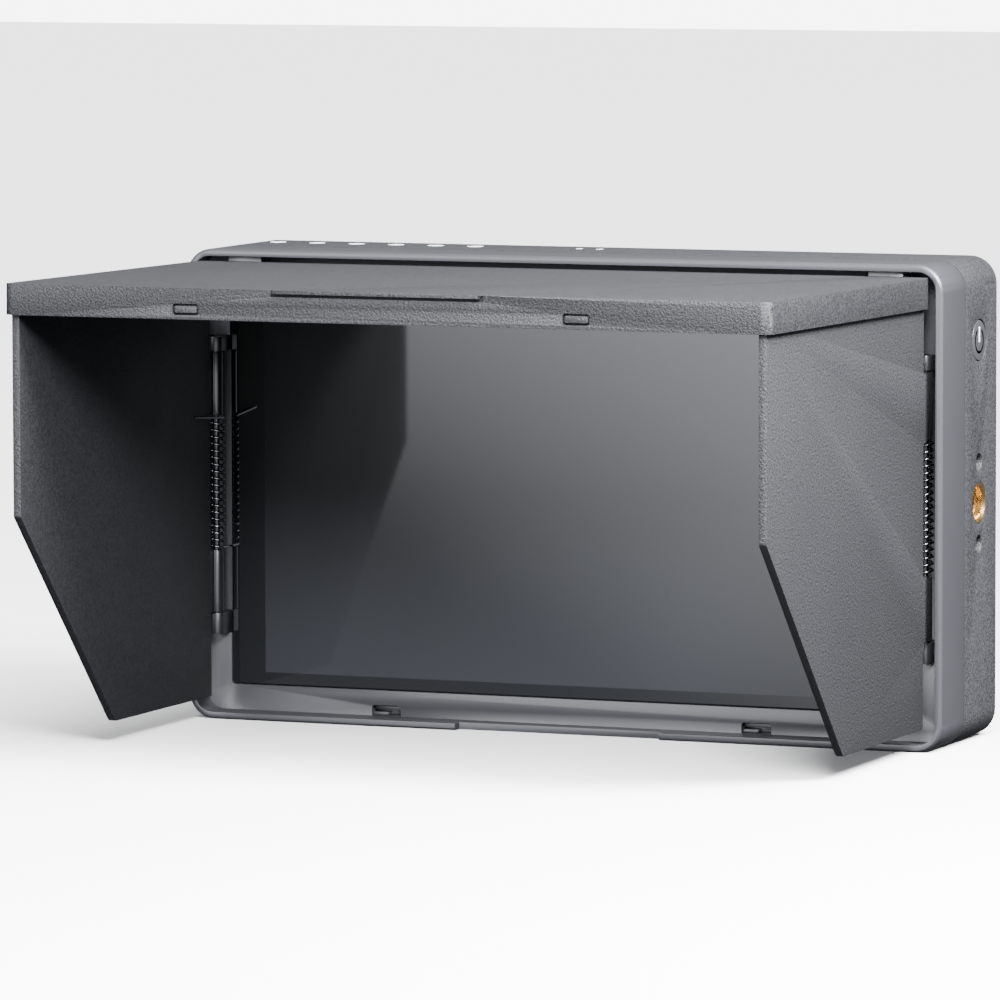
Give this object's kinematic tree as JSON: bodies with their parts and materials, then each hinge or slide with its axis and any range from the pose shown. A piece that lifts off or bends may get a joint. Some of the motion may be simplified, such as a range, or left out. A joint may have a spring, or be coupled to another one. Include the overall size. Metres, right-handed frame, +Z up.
{
  "type": "camera field monitor with folding sun hood",
  "caption": "Small field monitor with a hinged hood lid, two sprung folding side wings, threaded mounts and a battery plate on its back.",
  "frame": {"origin": "centre of the mouth of the bottom thread, on the plane of the base", "axes": "+X to the right seen from the front, +Y from the screen towards the back, +Z up"},
  "size_m": [0.154, 0.1224, 0.091],
  "materials": {
    "frame": "smooth satin dark grey paint",
    "shell": "fine spark-eroded dark grey plastic",
    "hood": "fine spark-eroded anthracite plastic, matte black inside",
    "glass": "glossy black-backed cover glass",
    "panel": "dark display panel",
    "white_plastic": "matte white reflector",
    "chassis": "plain aluminium sheet",
    "board": "green circuit board",
    "sink": "black anodised fins",
    "steel": "bright steel",
    "brass": "turned brass",
    "black": "black moulded plastic"
  },
  "bodies": {
    "monitor": {"front_frame": "frame", "rear_shell": "shell", "cover_glass": "glass", "display_panel": "panel", "backlight": "white_plastic", "chassis_plate": "chassis", "main_board": "board", "heat_sink": "sink", "board_screws": "steel", "case_screws": "steel", "hdmi_input": "steel", "hdmi_output": "steel", "usb_c_socket": "steel", "headphone_jack": "black", "power_switch": "black", "side_insert": "brass", "bottom_insert": "brass", "battery_plate": "shell", "battery_contacts": "black", "latch_hook_left": "frame", "latch_hook_right": "frame", "lid_bracket_left": "frame", "lid_bracket_right": "frame", "lid_pin_left": "steel", "lid_pin_right": "steel", "wing_bracket_left": "black", "wing_bracket_right": "black", "wing_pin_left": "steel", "wing_pin_right": "steel", "wing_spring_left": "steel", "wing_spring_right": "steel"},
    "lid": {"hood_lid": "hood", "lid_lip": "hood", "lid_wall_left": "hood", "lid_wall_right": "hood", "lid_catch_left": "hood", "lid_catch_right": "hood"},
    "left_wing": {"wing_left": "hood"},
    "right_wing": {"wing_right": "hood"},
    "power_key": {"power_button": "frame"},
    "battery_lock": {"battery_release": "black"}
  },
  "joints": [
    {"name": "lid_hinge", "type": "hinge", "parent": "monitor", "child": "lid", "pos_m": [0, -0.0196, 0.0874], "axis": [-1, 0, 0], "range_deg": [-1.5, 5]},
    {"name": "left_wing_fold", "type": "hinge", "parent": "monitor", "child": "left_wing", "pos_m": [-0.0722, -0.018, 0.045], "axis": [0, 0, 1], "range_deg": [0, 90], "stiffness_Nm_per_rad": 0.003, "springref_deg": -22.92, "deforming": ["wing_spring_left"]},
    {"name": "right_wing_fold", "type": "hinge", "parent": "monitor", "child": "right_wing", "pos_m": [0.0722, -0.0164, 0.045], "axis": [0, 0, -1], "range_deg": [0, 90], "stiffness_Nm_per_rad": 0.003, "springref_deg": -22.92, "deforming": ["wing_spring_right"]},
    {"name": "power_press", "type": "slide", "parent": "monitor", "child": "power_key", "axis": [-1, 0, 0], "range_m": [0, 0.0005], "stiffness_N_per_m": 800, "springref_m": -0.0005},
    {"name": "release_press", "type": "slide", "parent": "monitor", "child": "battery_lock", "axis": [0, -1, 0], "range_m": [0, 0.0022], "stiffness_N_per_m": 300, "springref_m": -0.001}
  ]
}
